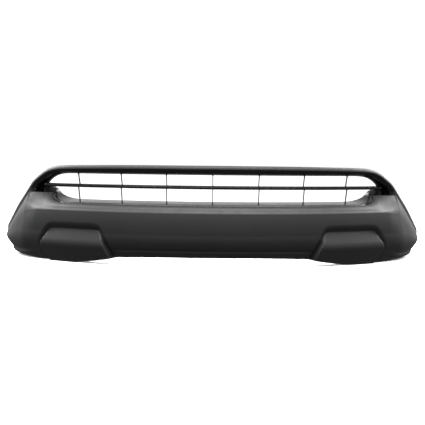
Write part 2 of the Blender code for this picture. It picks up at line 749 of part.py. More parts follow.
def centre_on_origin(skin):
    """Move everything so that the middle of the skin's depth is at y = 0."""
    ys = [v.co.y for v in skin.data.vertices]
    shift = Matrix.Translation((0, -(min(ys) + max(ys)) / 2, 0))
    for thing in bpy.data.objects:
        thing.matrix_world = shift @ thing.matrix_world


def build():
    clear_scene()
    textured = plastic("textured_plastic", (0.045, 0.046, 0.048), 0.55)
    black = plastic("black_plastic", (0.012, 0.012, 0.013), 0.35)
    zinc = plastic("plated_steel", (0.55, 0.56, 0.58), 0.35, 1.0)
    spring = plastic("spring_steel", (0.10, 0.10, 0.11), 0.45, 1.0)
    skin = make_skin(textured)
    make_grille(black)
    for side in (-1, 1):
        make_bracket(side, black)
    make_insert_screws(zinc)
    make_bracket_screws(zinc)
    make_bottom_nuts(spring)
    bpy.context.view_layer.update()
    centre_on_origin(skin)


build()
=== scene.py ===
"""Looks of the bumper cover: fine skin, grille insert, hardware, plastics, light and camera.

The skin is a section swept along a bowed plan line.  s is the distance along that line from the
centre, d is how far a point lies inside it (square to it) and z is its height, all in metres.
"""
import math

import bmesh
import bpy
from mathutils import Matrix, Vector


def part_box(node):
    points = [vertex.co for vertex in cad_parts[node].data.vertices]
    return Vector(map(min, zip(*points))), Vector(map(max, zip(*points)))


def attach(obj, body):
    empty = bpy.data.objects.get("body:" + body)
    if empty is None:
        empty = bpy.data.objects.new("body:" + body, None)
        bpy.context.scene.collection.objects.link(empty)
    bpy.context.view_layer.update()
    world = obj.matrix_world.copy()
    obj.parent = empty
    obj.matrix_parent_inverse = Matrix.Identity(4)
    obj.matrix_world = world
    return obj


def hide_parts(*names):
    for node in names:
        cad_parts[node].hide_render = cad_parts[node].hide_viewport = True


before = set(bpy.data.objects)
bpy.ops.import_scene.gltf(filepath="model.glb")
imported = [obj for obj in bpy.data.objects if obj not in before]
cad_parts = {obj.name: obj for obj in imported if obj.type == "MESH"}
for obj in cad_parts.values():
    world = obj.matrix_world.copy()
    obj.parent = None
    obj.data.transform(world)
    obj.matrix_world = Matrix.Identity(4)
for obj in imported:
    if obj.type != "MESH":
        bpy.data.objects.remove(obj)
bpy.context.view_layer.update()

# ---- the same design sizes as the frame's -------------------------------------------------------
WALL = 0.003
INSERT_WALL = 0.0025
FIT_GAP = 0.0004
BOW_RADIUS = 1.25
PLAN_ARCS = ((0.745, 34.15), (0.035, 46.0), (0.100, 60.0), (0.080, 76.0), (0.060, 84.0))
S_END = sum(arc[0] for arc in PLAN_ARCS)
S_SLOT = 0.748
FLANGE_Z = 0.345
CREASE_Z = 0.190
LOWER_CREASE_Z = 0.084
WING_CREASE_Z = 0.063
SHELF_Z = 0.214
STEP_Z = 0.248
CREASE_D = 0.004
SHELF_SLOPE = 1.14
TUCK_D = 0.040
WING_TUCK_D = 0.052
FLANGE_W = 0.055
BOTTOM_FLANGE_W = 0.032
ARCH_FLANGE_W = 0.022
TOP_LINE = ((0.0, 0.353), (0.30, 0.3525), (0.45, 0.351), (0.56, 0.3495), (0.61, 0.347), (0.655, 0.338),
            (0.70, 0.318), (0.74, 0.292), (0.78, 0.2485), (0.83, 0.200), (0.88, 0.155), (0.93, 0.124),
            (0.97, 0.115), (1.02, 0.113))
LIP_LINE = ((0.0, 0.025), (0.55, 0.027), (0.65, 0.034), (0.74, 0.038), (0.78, 0.029), (0.83, 0.020),
            (0.88, 0.013), (0.94, 0.007), (1.02, 0.006))
BOTTOM_LINE = ((0.0, 0.0300), (0.17, 0.0287), (0.34, 0.0243), (0.36, 0.0225), (0.40, 0.0155),
               (0.436, 0.0100), (0.47, 0.0055), (0.50, 0.0020), (0.525, 0.0), (0.975, 0.0), (1.02, 0.012))
NOSE_D = 0.0105
NOSE_DROP = 0.0125
UNDER_D = 0.018
UNDER_DROP = 0.0115
TUCK_STEP = 0.008
BAR_Z = 0.276
BAR_H = 0.0125
RIB_PITCH = 0.162
RIB_T = 0.0029
RIB_FRONT_LOW = 0.079
RIB_FRONT_HIGH = 0.069
WINDOW_TOP = 0.319
WINDOW_BOTTOM = 0.2225
INSERT_SCREWS_S = (0.08, 0.24, 0.40, 0.52)
BRACKET_SCREWS_S = (0.865, 0.915)
BOTTOM_HOLES_S = (0.08, 0.32)
CLIP_SLOTS_S = (0.16, 0.32)
HOLE_HALF = 0.0079           # half-width of a screw or clip hole
RETURN_DEPTH = 0.022         # how far the slot's edge turns in at its ends
BAR_REACH = 0.708
BAR_STEPS = 120
RIB_DEPTH = 0.0125
RIB_STEPS = 10
RIBS_EACH_SIDE = 3

# skid pad: straight edges as (point, inward direction) in (s, z), rounded where they meet
RECESS_EDGES = (((0.50, 0.1470), (0.0, -1.0)), ((0.3770, 0.080), (0.925, -0.38)),
                ((0.6820, 0.074), (-0.780, -0.626)), ((0.6860, 0.040), (-1.0, 0.0)))
PAD_EDGES = (((0.50, 0.1245), (0.0, -1.0)), ((0.3890, 0.075), (0.925, -0.38)),
             ((0.6625, 0.076), (-0.780, -0.626)), ((0.6695, 0.050), (-1.0, 0.0)),
             ((0.650, 0.014), (-0.85, 0.53)))
RECESS_ROUND = 0.020
PAD_ROUND = 0.011
RECESS_DEPTH = 0.0105
PAD_TOP_Z = 0.1245
PAD_CREASE_Z = 0.0715
PAD_CREASE_D = -0.003
PAD_BOTTOM_D = 0.027


# ---- small maths --------------------------------------------------------------------------------
def clamp01(t):
    return max(0.0, min(1.0, t))


def smooth(low, high, value):
    t = clamp01((value - low) / (high - low))
    return t * t * (3 - 2 * t)


def mix(a, b, t):
    return a + (b - a) * t


def spline(points, value):
    """Smooth curve through points, with the slope at each taken from its neighbours."""
    xs = [p[0] for p in points]
    ys = [p[1] for p in points]
    if value <= xs[0]:
        return ys[0]
    if value >= xs[-1]:
        return ys[-1]
    k = max(i for i in range(len(xs) - 1) if xs[i] <= value)
    slopes = []
    for i in (k, k + 1):
        low, high = max(i - 1, 0), min(i + 1, len(xs) - 1)
        slopes.append((ys[high] - ys[low]) / (xs[high] - xs[low]))
    h = xs[k + 1] - xs[k]
    t = (value - xs[k]) / h
    return ((2 * t ** 3 - 3 * t ** 2 + 1) * ys[k] + (t ** 3 - 2 * t ** 2 + t) * h * slopes[0]
            + (3 * t ** 2 - 2 * t ** 3) * ys[k + 1] + (t ** 3 - t ** 2) * h * slopes[1])


def plan(s):
    """Point and direction of the plan line at distance s from the centre, right-hand side."""
    x = y = angle = 0.0
    for length, end_deg in PLAN_ARCS:
        end = math.radians(end_deg)
        part = min(s, length)
        radius = length / (end - angle)
        turn = angle + part / radius
        x += radius * (math.sin(turn) - math.sin(angle))
        y += radius * (math.cos(angle) - math.cos(turn))
        angle = turn
        s -= part
        if s <= 1e-9:
            break
    return x, y, angle


def front_y():
    """Where the plan line's centre lies: the CAD skin's front, less its crown."""
    low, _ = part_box("cover_skin")
    crest = min(place_raw(0.0, d, z).y for d, z in skin_profile(0.0, COARSE))
    return low.y - crest


def place_raw(s, d, z):
    x, y, angle = plan(abs(s))
    x -= d * math.sin(angle)
    y += d * math.cos(angle)
    return Vector((math.copysign(x, s) if s else 0.0, y, z))


def place(s, d, z):
    """World point for plan distance s (negative on the left), inward offset d and height z."""
    point = place_raw(s, d, z)
    point.y += FRONT_Y
    return point


# ---- the section of the skin --------------------------------------------------------------------
# rows in each stretch of the section: lip, fillet, face, tuck fillet, tuck, bottom edge
COARSE = {"lip": 2, "under": 2, "shelf": 1, "crease": 2, "face": 8, "low": 3, "tuck": 4, "edge": 2}
FINE = {"lip": 8, "under": 5, "shelf": 6, "crease": 6, "face": 46, "low": 9, "tuck": 20, "edge": 4}


def top_z(s):
    return spline(TOP_LINE, s)


def lip_d(s):
    return spline(LIP_LINE, s)


def rim_drop(s):
    """Vertical stretch of the rim where its line slants."""
    slope = (top_z(s + 0.004) - top_z(s - 0.004)) / 0.008
    return math.sqrt(1 + min(slope * slope, 1.6))


def wing_share(s):
    return smooth(0.685, 0.79, s)


def bottom_z(s):
    return max(0.0, spline(BOTTOM_LINE, s))


def under_share(s):
    """How much of the rim's underside is there: all of it, until the slot closes."""
    return 1 - smooth(0.700, 0.752, s)


def rim_end(s):
    """Bottom edge of the rim's underside."""
    share = under_share(s)
    drop = NOSE_DROP * rim_drop(s) + mix(0.0040, UNDER_DROP, share)
    return lip_d(s) + mix(0.0002, UNDER_D, share), top_z(s) - drop


def shelf_edge(s):
    """Rear edge of the shelf in front of the slot, then the top of the side wall."""
    rise = clamp01((s - 0.577) / 0.086)
    z = SHELF_Z + (STEP_Z - SHELF_Z) * (1 - math.sqrt(max(0.0, 1 - rise * rise)))
    d = CREASE_D + SHELF_SLOPE * (z - CREASE_Z)
    near = smooth(0.655, S_SLOT, s)
    rim_low = rim_end(s)[1]
    if s > S_SLOT:
        return lip_d(s), rim_low - mix(0.005, 0.010, smooth(S_SLOT, 0.84, s))
    return mix(d, lip_d(S_SLOT) + 0.001, near), min(z, rim_low - 0.005)


def crown(t):
    return 4 * t * (1 - t)


def early_peak(t):
    """Rises quickly to one at the peak, then falls away."""
    peak = 0.15
    return t / peak * math.exp(1 - t / peak)


def late_peak(t):
    """Starts without a kink and rises to one two thirds of the way."""
    return 6.75 * t * t * (1 - t)


def corner(before, point, after, setback, count):
    """Rounded corner: points on a parabola that leaves each side at the setback distance."""
    reach_in = min(setback, 0.45 * (point - before).length)
    reach_out = min(setback, 0.45 * (after - point).length)
    start = point + (before - point).normalized() * reach_in
    end = point + (after - point).normalized() * reach_out
    out = []
    for k in range(count + 1):
        t = k / count
        out.append(start * (1 - t) ** 2 + point * (2 * t * (1 - t)) + end * t * t)
    return out


def rim_profile(s, rows):
    """Flange, joggle and rolled lip, from the flange's rear edge to the bottom of the lip."""
    d, z, k = lip_d(s), top_z(s), rim_drop(s)
    width = mix(FLANGE_W, 0.030, smooth(0.57, 0.63, s))
    flat = mix(FLANGE_Z, z - 0.008 * k, smooth(0.55, 0.61, s))
    out = [(d + width, flat), (d + width - 0.009, flat), (d + width - 0.019, flat), (d + 0.0155, flat)]
    out += [(d + 0.0135, z - 0.0015 * k), (d + NOSE_D, z)]
    steps = rows["lip"]
    for n in range(1, steps + 1):
        turn = math.radians(90) * n / steps
        out.append((d + NOSE_D * (1 - math.sin(turn)), z - NOSE_DROP * k * (1 - math.cos(turn))))
    nose, end = Vector(out[-1]), Vector(rim_end(s))
    bend = nose - Vector((0, 0.0025))
    steps = rows["under"]
    for n in range(1, steps + 1):
        t = n / steps
        out.append(tuple(nose * (1 - t) ** 2 + bend * (2 * t * (1 - t)) + end * t * t))
    return out


def skin_profile(s, rows):
    """Shelf (or side wall), face, tuck and bottom flange, as (d, z) rows."""
    share = wing_share(s)
    a_d, a_z = shelf_edge(s)
    low_z = mix(LOWER_CREASE_Z, WING_CREASE_Z, share)
    b_z = mix(CREASE_Z, mix(low_z, a_z, 0.70), share)
    lean = a_d / max(a_z - low_z, 0.004)
    b_d = mix(CREASE_D, 0.70 * lean * (b_z - low_z), share)
    c_d = mix(CREASE_D, 0.001, share)
    e_d, e_z = mix(TUCK_D, WING_TUCK_D, share), bottom_z(s)
    a, b, c = Vector((a_d, a_z)), Vector((b_d, b_z)), Vector((c_d, low_z))
    e, g = Vector((e_d, e_z)), Vector((e_d + BOTTOM_FLANGE_W, e_z))
    soft_b = mix(0.006, 0.030, smooth(0.66, 0.78, s))
    soft_c = mix(0.028, 0.044, share)
    start = corner(a, b, c, soft_b, 2)[0]
    swell = Vector((-0.0026, 0.0030)) * (1 - share)
    steps = rows["shelf"] + 1
    out = [a.lerp(start, n / steps) + swell * crown(n / steps) for n in range(steps)]
    out += corner(a, b, c, soft_b, rows["crease"])
    first, last = out[-1], corner(b, c, e, soft_c, 2)[0]
    for n in range(1, rows["face"]):
        t = n / rows["face"]
        out.append(first.lerp(last, t) - Vector((0.0025 * crown(t) * (1 - share), 0)))
    out += corner(b, c, e, soft_c, rows["low"])
    first, last = out[-1], corner(c, e, g, 0.010, 2)[0]
    step = TUCK_STEP * (1 - smooth(0.33, 0.37, s))
    for n in range(1, rows["tuck"]):
        t = n / rows["tuck"]
        out.append(first.lerp(last, t) + Vector((step * early_peak(t) - 0.009 * share * late_peak(t), 0)))
    out += corner(c, e, g, 0.010, rows["edge"])
    out += [g - Vector((0.018, 0)), g - Vector((0.008, 0)), g]
    return [tuple(r) for r in out]


def edge_distance(edges, s, z, rounding):
    """Distance inside a rounded shape bounded by straight edges, negative outside."""
    total = 0.0
    for (s0, z0), (ns, nz) in edges:
        total += math.exp(-((s - s0) * ns + (z - z0) * nz) / (rounding * 0.45))
    return -math.log(total) * rounding * 0.45


def padded_depth(s, d, z):
    """Inward offset of the skin with the skid pad and the recess round it."""
    if not (0.31 < s < 0.73 and z < 0.165):
        return d
    ring = edge_distance(RECESS_EDGES, s, z, RECESS_ROUND)
    pad = edge_distance(PAD_EDGES, s, z, PAD_ROUND)
    fade = mix(1.0, 0.35, smooth(0.075, 0.045, z))
    into = clamp01((ring + 0.003) / max(ring + 0.003 - min(pad, 0.0), 1e-5))
    recess = d + RECESS_DEPTH * fade * (into * into * (1.6 - 0.6 * into))
    if z > PAD_CREASE_Z:
        face = mix(PAD_CREASE_D, CREASE_D + RECESS_DEPTH, (z - PAD_CREASE_Z) / (PAD_TOP_Z - PAD_CREASE_Z))
    else:
        face = mix(PAD_CREASE_D, PAD_BOTTOM_D, (PAD_CREASE_Z - z) / PAD_CREASE_Z)
    face += 0.0022 * math.exp(-((z - PAD_CREASE_Z) / 0.006) ** 2)
    return mix(recess, face, smooth(-0.001, 0.0045, pad))


def skin_rows(s, rows):
    """Every row of the section at |s| as world points, rim rows first."""
    side = abs(s)
    rim = [place(s, d, z) for d, z in rim_profile(side, rows)]
    profile = skin_profile(side, rows)
    moved = len(profile) - 4
    lower = [place(s, padded_depth(side, d, z) if n < moved else d, z) for n, (d, z) in enumerate(profile)]
    return rim, lower


# ---- meshes -------------------------------------------------------------------------------------
def thick_sheet(points, quads, wall):
    """Close a sheet of quads into a solid wall on the side away from its normals."""
    normals = [Vector((0, 0, 0)) for _ in points]
    for quad in quads:
        corners = [points[i] for i in quad]
        facing = (corners[2] - corners[0]).cross(corners[3] - corners[1])
        if facing.length < 1e-12:
            continue
        for i in quad:
            normals[i] += facing.normalized()
    count = len(points)
    inner = [p - n.normalized() * wall for p, n in zip(points, normals)]
    owner = {(quad[k], quad[(k + 1) % 4]) for quad in quads for k in range(4)}
    faces = [tuple(q) for q in quads] + [tuple(i + count for i in reversed(q)) for q in quads]
    for a, b in sorted(owner):
        if (b, a) not in owner:
            faces.append((b, a, a + count, b + count))
    return points + inner, faces


def make_piece(name, points, faces, material, node=None, slot=None, sharp_deg=32):
    """New visible piece on the root body, standing for a CAD node where one is named."""
    mesh = bpy.data.meshes.new(name)
    mesh.from_pydata([tuple(p) for p in points], [], faces)
    work = bmesh.new()
    work.from_mesh(mesh)
    bmesh.ops.delete(work, geom=[v for v in work.verts if not v.link_faces], context="VERTS")
    work.to_mesh(mesh)
    work.free()
    mesh.shade_smooth()
    mesh.set_sharp_from_angle(angle=math.radians(sharp_deg))
    mesh.materials.append(material)
    thing = bpy.data.objects.new(name, mesh)
    bpy.context.collection.objects.link(thing)
    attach(thing, "root")
    if node:
        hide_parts(node)
    return thing


# stretches of the plan line and the widest gap between cuts in each
CUT_SPANS = ((0.0, 0.072, 0.012), (0.072, 0.088, 0.008), (0.088, 0.152, 0.012), (0.152, 0.168, 0.008),
             (0.168, 0.232, 0.012), (0.232, 0.248, 0.008), (0.248, 0.312, 0.012), (0.312, 0.328, 0.008),
             (0.328, 0.340, 0.006), (0.340, 0.360, 0.0025), (0.360, 0.392, 0.0035), (0.392, 0.408, 0.0032),
             (0.408, 0.440, 0.0032), (0.440, 0.512, 0.006), (0.512, 0.528, 0.008), (0.528, 0.565, 0.006),
             (0.565, 0.620, 0.0045), (0.620, 0.632, 0.002), (0.632, 0.700, 0.0035), (0.700, S_SLOT, 0.005),
             (S_SLOT, 0.857, 0.006), (0.857, 0.873, 0.008), (0.873, 0.907, 0.007), (0.907, 0.923, 0.008),
             (0.923, S_END, 0.007))


def skin_cuts():
    cuts = [0.0]
    for low, high, gap in CUT_SPANS:
        count = math.ceil((high - low) / gap - 1e-9)
        cuts += [low + (high - low) * (n + 1) / count for n in range(count)]
    return [-s for s in reversed(cuts[1:])] + cuts


def skin_mesh():
    """The skin's outer surface as points and quads."""
    cuts = skin_cuts()
    grid, lip_rows = [], 0
    for s in cuts:
        rim, lower = skin_rows(s, FINE)
        lip_rows = len(rim)
        grid.append(rim + lower)
    row_count = len(grid[0])
    points = [p for column in grid for p in column]

    def index(i, j):
        return i * row_count + j

    flange_holes = CLIP_SLOTS_S + INSERT_SCREWS_S + BRACKET_SCREWS_S
    quads = []
    for i in range(len(cuts) - 1):
        middle = abs(cuts[i] + cuts[i + 1]) / 2
        for j in range(row_count - 1):
            in_slot = j == lip_rows - 1 and middle < S_SLOT
            in_hole = j == 1 and any(abs(middle - c) < HOLE_HALF for c in flange_holes)
            in_nut = j == row_count - 3 and any(abs(middle - c) < HOLE_HALF for c in BOTTOM_HOLES_S)
            if not (in_slot or in_hole or in_nut):
                quads.append((index(i, j), index(i, j + 1), index(i + 1, j + 1), index(i + 1, j)))
    add_slot_return(points, quads, cuts, index, lip_rows)
    add_arch_flanges(points, quads, cuts, index, row_count)
    return points, quads


def add_slot_return(points, quads, cuts, index, lip_rows):
    """Turn the slot's edge inwards: back under the rim and down behind the shelf."""
    inside = [i for i, s in enumerate(cuts) if abs(s) <= S_SLOT + 1e-6]
    loop = [index(i, lip_rows - 1) for i in inside] + [index(i, lip_rows) for i in reversed(inside)]
    extra = []
    for position, vertex in enumerate(loop):
        s = cuts[vertex // index(1, 0)]
        _, _, angle = plan(abs(s))
        inward = Vector((-math.copysign(math.sin(angle), s), math.cos(angle), 0))
        end = smooth(0.70, S_SLOT, abs(s))
        if position < len(inside):
            move = inward * mix(0.004, RETURN_DEPTH, end) + Vector((0, 0, 0.001))
        else:
            move = inward * mix(0.0015, RETURN_DEPTH, end) + Vector((0, 0, mix(-0.011, -0.003, end)))
        extra.append(len(points))
        points.append(points[vertex] + move)
    for k in range(len(loop)):
        n = (k + 1) % len(loop)
        quads.append((loop[n], loop[k], extra[k], extra[n]))


def add_arch_flanges(points, quads, cuts, index, row_count):
    """Turn the rear end of each wing inwards, at the wheel arch."""
    for i, side in ((0, -1), (len(cuts) - 1, 1)):
        _, _, angle = plan(S_END)
        inward = Vector((-side * math.sin(angle), math.cos(angle), 0)) * ARCH_FLANGE_W
        rows = range(5, row_count - 4)
        extra = {}
        for j in rows:
            extra[j] = len(points)
            points.append(points[index(i, j)] + inward)
        for j in list(rows)[:-1]:
            quad = (index(i, j), index(i, j + 1), extra[j + 1], extra[j])
            quads.append(quad if side > 0 else tuple(reversed(quad)))


# ---- grille insert ------------------------------------------------------------------------------
# window point, outer point, top share, wall share and bottom share, round the right-hand end
SURROUND = (
    (0.560, 0.3190, 0.560, 0.3395, 1.0, 0.0, 0.0), (0.600, 0.3188, 0.612, 0.3320, 0.6, 0.4, 0.0),
    (0.635, 0.3172, 0.662, 0.3215, 0.1, 0.9, 0.0), (0.665, 0.3120, 0.712, 0.2975, 0.0, 1.0, 0.0),
    (0.690, 0.3020, 0.740, 0.2775, 0.0, 1.0, 0.0), (0.708, 0.2905, 0.764, 0.2590, 0.0, 1.0, 0.0),
    (0.716, 0.2800, 0.770, 0.2440, 0.0, 1.0, 0.0), (0.694, 0.2710, 0.762, 0.2310, 0.0, 0.8, 0.0),
    (0.672, 0.2610, 0.742, 0.2220, 0.0, 0.3, 0.0), (0.665, 0.2500, 0.710, 0.2170, 0.0, 0.0, 0.1),
    (0.655, 0.2390, 0.682, 0.2080, 0.0, 0.0, 0.3), (0.638, 0.2300, 0.650, 0.2010, 0.0, 0.0, 0.6),
    (0.612, 0.2240, 0.615, 0.1970, 0.0, 0.0, 0.9), (0.573, 0.2225, 0.573, 0.1950, 0.0, 0.0, 1.0))
TOP_CUTS = (0.0, 0.072, 0.088, 0.160, 0.232, 0.248, 0.320, 0.392, 0.408, 0.460, 0.512, 0.528)
LOW_CUTS = (0.500, 0.420, 0.340, 0.260, 0.180, 0.090, 0.0)
# each row: place between the window's edge (0) and the outer edge (1), and depth
TOP_ROWS = ((1.0, 0.078), (1.0, 0.071), (1.0, 0.061), (1.0, 0.054), (0.72, 0.054), (0.42, 0.054),
            (0.22, 0.061), (0.09, 0.073), (0.02, 0.088), (0.0, 0.104))
WALL_ROWS = ((1.03, 0.079), (1.02, 0.074), (1.01, 0.071), (1.0, 0.069), (0.99, 0.078), (0.96, 0.087),
             (0.86, 0.093), (0.10, 0.094), (0.03, 0.096), (0.0, 0.106))
END_ROWS = ((1.02, 0.112), (1.01, 0.107), (1.0, 0.102), (1.0, 0.096), (0.70, 0.094), (0.40, 0.094),
            (0.20, 0.094), (0.10, 0.095), (0.03, 0.098), (0.0, 0.112))
LOW_ROWS = ((1.0, 0.072), (1.0, 0.068), (1.0, 0.063), (1.0, 0.058), (0.72, 0.058), (0.54, 0.058),
            (0.40, 0.0592), (0.28, 0.0640), (0.14, 0.088), (0.0, 0.150))
EDGE_ROW = 4                 # rows from here to the window are rounded
ROW_STEPS = 4
END_STEPS = 6


def surround_ring():
    """Half of the ring round the window, from the top centre to the bottom centre."""
    ring = [(s, WINDOW_TOP, s, FLANGE_Z - WALL - FIT_GAP, 1.0, 0.0, 0.0) for s in TOP_CUTS]
    ring += list(SURROUND)
    ring += [(s, WINDOW_BOTTOM, s, 0.196, 0.0, 0.0, 1.0) for s in LOW_CUTS]
    return ring


def surround_stations():
    """The ring's cuts, with extra ones where it bends round the end of the slot."""
    ring = surround_ring()
    first_bend, last_bend = len(TOP_CUTS), len(TOP_CUTS) + len(SURROUND) - 1
    tracks = [[(i, station[c]) for i, station in enumerate(ring)] for c in range(7)]
    out = []
    for n in range(len(ring) - 1):
        if first_bend <= n < last_bend:
            out += [tuple(spline(track, n + k / END_STEPS) for track in tracks) for k in range(END_STEPS)]
        else:
            out += [tuple(mix(a, b, k / 2) for a, b in zip(ring[n], ring[n + 1])) for k in range(2)]
    out.append(ring[-1])
    return out


def surround_column(station, side):
    window_s, window_z, outer_s, outer_z, top, wall, low = station
    shares = (top, wall, low, 1 - top - wall - low)
    keys = []
    for row in zip(TOP_ROWS, WALL_ROWS, LOW_ROWS, END_ROWS):
        keys.append(tuple(sum(share * r[c] for share, r in zip(shares, row)) for c in range(2)))
    rounded = keys[EDGE_ROW:]
    tracks = [[(i, key[c]) for i, key in enumerate(rounded)] for c in range(2)]
    steps = (len(rounded) - 1) * ROW_STEPS
    rows = keys[:EDGE_ROW]
    rows += [tuple(spline(track, n / ROW_STEPS) for track in tracks) for n in range(steps + 1)]
    return [place(side * mix(window_s, outer_s, out), d, mix(window_z, outer_z, out)) for out, d in rows]


def surround_mesh():
    """Ring of the insert: upper tab, pocket panels and the lead-in round the window."""
    ring = surround_stations()
    mirrored = list(reversed(ring[1:-1]))
    columns = [surround_column(st, 1) for st in ring] + [surround_column(st, -1) for st in mirrored]
    everyone = ring + mirrored
    rows = len(columns[0])
    points = [p for column in columns for p in column]
    quads = []
    for i in range(len(columns)):
        n = (i + 1) % len(columns)
        middle = (everyone[i][0] + everyone[n][0]) / 2
        on_tab = everyone[i][4] > 0.99 and everyone[n][4] > 0.99
        for j in range(rows - 1):
            if j == 1 and on_tab and any(abs(middle - c) < HOLE_HALF for c in INSERT_SCREWS_S):
                continue
            quads.append((i * rows + j, i * rows + j + 1, n * rows + j + 1, n * rows + j))
    return thick_sheet(points, quads, INSERT_WALL)


def loft(sections):
    """Closed solid through equal closed sections, capped at both ends."""
    count = len(sections[0])
    points = [p for section in sections for p in section]
    faces = []
    for i in range(len(sections) - 1):
        for j in range(count):
            n = (j + 1) % count
            faces.append((i * count + j, i * count + n, (i + 1) * count + n, (i + 1) * count + j))
    faces.append(tuple(reversed(range(count))))
    last = (len(sections) - 1) * count
    faces.append(tuple(range(last, last + count)))
    return points, faces


def bar_mesh(reach):
    """Horizontal bar with a rounded nose and a flat top that slopes back."""
    low, high = BAR_Z - BAR_H / 2, BAR_Z + BAR_H / 2
    outline = [(0.092, low), (0.072, low)]
    for n in range(7):
        turn = math.radians(-80 + 150 * n / 6)
        outline.append((0.0705 - 0.0025 * math.cos(turn), BAR_Z + 0.0036 * math.sin(turn) - 0.0002))
    outline += [(0.076, high), (0.092, high)]
    sections = []
    for n in range(BAR_STEPS + 1):
        s = mix(-reach, reach, n / BAR_STEPS)
        sections.append([place(s, d, z) for d, z in outline])
    return loft(sections)


def rib_mesh(x, low, high):
    """Thin upright rib that lies further back at the bottom of its cell than at the top."""
    s = math.copysign(BOW_RADIUS * math.asin(abs(x) / (BOW_RADIUS - 0.08)), x)
    half, back, nose = RIB_T / 2, RIB_DEPTH, 0.0006
    outline = ((-half + nose, 0), (half - nose, 0), (half, nose), (half, back), (-half, back), (-half, nose))
    sections = []
    for n in range(RIB_STEPS + 1):
        t = n / RIB_STEPS
        flare = 1 + 0.9 * (abs(2 * t - 1) ** 12)
        centre = place(s, mix(RIB_FRONT_LOW, RIB_FRONT_HIGH, t), mix(low, high, t))
        sections.append([centre + Vector((u * flare, v, 0)) for u, v in outline])
    return loft(sections)


def make_grille(material):
    make_piece("grille_surround", *surround_mesh(), material, "grille_insert", "black_plastic")
    make_piece("grille_bar", *bar_mesh(BAR_REACH), material, "grille_insert", "black_plastic", 50)
    cells = (("lower", WINDOW_BOTTOM - 0.0055, BAR_Z - 0.002), ("upper", BAR_Z + 0.002, WINDOW_TOP + 0.0015))
    for n in range(-RIBS_EACH_SIDE, RIBS_EACH_SIDE + 1):
        for label, low, high in cells:
            name = "grille_rib_%s_%d" % (label, n + RIBS_EACH_SIDE + 1)
            rib = rib_mesh(n * RIB_PITCH, low, high)
            make_piece(name, *rib, material, "grille_insert", "black_plastic", 50)


# ---- materials ----------------------------------------------------------------------------------
class Nodes:
    """Short way to build a Principled material's node tree."""

    def __init__(self, name):
        self.material = bpy.data.materials.new(name)
        self.material.use_nodes = True
        self.tree = self.material.node_tree
        self.shader = self.tree.nodes["Principled BSDF"]
        self.coords = self.add("ShaderNodeTexCoord").outputs["Object"]

    def add(self, kind, **values):
        node = self.tree.nodes.new(kind)
        for key, value in values.items():
            if hasattr(node, key):
                setattr(node, key, value)
            else:
                node.inputs[key.replace("_", " ")].default_value = value
        return node

    def link(self, source, target):
        self.tree.links.new(source, target)

    def noise(self, scale, detail=2.0, rough=0.5):
        node = self.add("ShaderNodeTexNoise", Scale=scale, Detail=detail, Roughness=rough)
        self.link(self.coords, node.inputs["Vector"])
        return node.outputs["Fac"]

    def cells(self, scale):
        node = self.add("ShaderNodeTexVoronoi", Scale=scale)
        self.link(self.coords, node.inputs["Vector"])
        return node.outputs["Distance"]

    def ramp(self, source, low, high, out_low, out_high):
        node = self.add("ShaderNodeMapRange")
        self.link(source, node.inputs["Value"])
        for key, value in (("From Min", low), ("From Max", high), ("To Min", out_low), ("To Max", out_high)):
            node.inputs[key].default_value = value
        return node.outputs["Result"]

    def colours(self, factor, dark, light):
        node = self.add("ShaderNodeMix", data_type="RGBA")
        node.inputs["A"].default_value = (*dark, 1)
        node.inputs["B"].default_value = (*light, 1)
        self.link(factor, node.inputs["Factor"])
        return node.outputs["Result"]

    def lighten(self, base, factor, light):
        node = self.add("ShaderNodeMix", data_type="RGBA")
        self.link(base, node.inputs["A"])
        node.inputs["B"].default_value = (*light, 1)
        self.link(factor, node.inputs["Factor"])
        return node.outputs["Result"]

    def bump(self, height, strength, distance, under=None):
        node = self.add("ShaderNodeBump", Strength=strength, Distance=distance)
        self.link(height, node.inputs["Height"])
        if under:
            self.link(under, node.inputs["Normal"])
        return node.outputs["Normal"]


def textured_plastic():
    """Dark grey moulded plastic with a fine grain, and a painted highlight that makes its convex edges
    paler.
    """
    n = Nodes("textured_plastic_look")
    blotches = n.ramp(n.noise(6.0, 4.0), 0.3, 0.7, 0, 1)
    tone = n.colours(blotches, (0.0062, 0.0063, 0.0066), (0.0080, 0.0081, 0.0085))
    speck = n.ramp(n.noise(1400.0, 1.0), 0.45, 0.75, 0.0, 0.35)
    tone = n.lighten(tone, speck, (0.015, 0.015, 0.0158))
    # painted highlight: convex edges (found by pointiness) are lightened to stand in for the sheen they
    # catch
    edge = n.ramp(n.add("ShaderNodeNewGeometry").outputs["Pointiness"], 0.52, 0.60, 0.0, 0.5)
    tone = n.lighten(tone, edge, (0.021, 0.021, 0.0218))
    n.link(tone, n.shader.inputs["Base Color"])
    n.link(n.ramp(n.noise(22.0, 3.0), 0.3, 0.7, 0.50, 0.58), n.shader.inputs["Roughness"])
    grain = n.bump(n.cells(950.0), 0.30, 0.00025)
    n.link(n.bump(n.noise(2200.0, 2.0), 0.18, 0.00015, grain), n.shader.inputs["Normal"])
    n.shader.inputs["Specular IOR Level"].default_value = 0.30
    return n.material


def black_plastic():
    """Black moulded plastic, smoother than the skin."""
    n = Nodes("black_plastic_look")
    blotches = n.ramp(n.noise(14.0, 3.0), 0.3, 0.7, 0, 1)
    tone = n.colours(blotches, (0.0035, 0.0035, 0.0038), (0.0060, 0.0060, 0.0064))
    n.link(tone, n.shader.inputs["Base Color"])
    n.link(n.ramp(n.noise(40.0, 2.0), 0.3, 0.7, 0.24, 0.34), n.shader.inputs["Roughness"])
    n.link(n.bump(n.noise(900.0, 2.0), 0.10, 0.0001), n.shader.inputs["Normal"])
    n.shader.inputs["Specular IOR Level"].default_value = 0.40
    return n.material


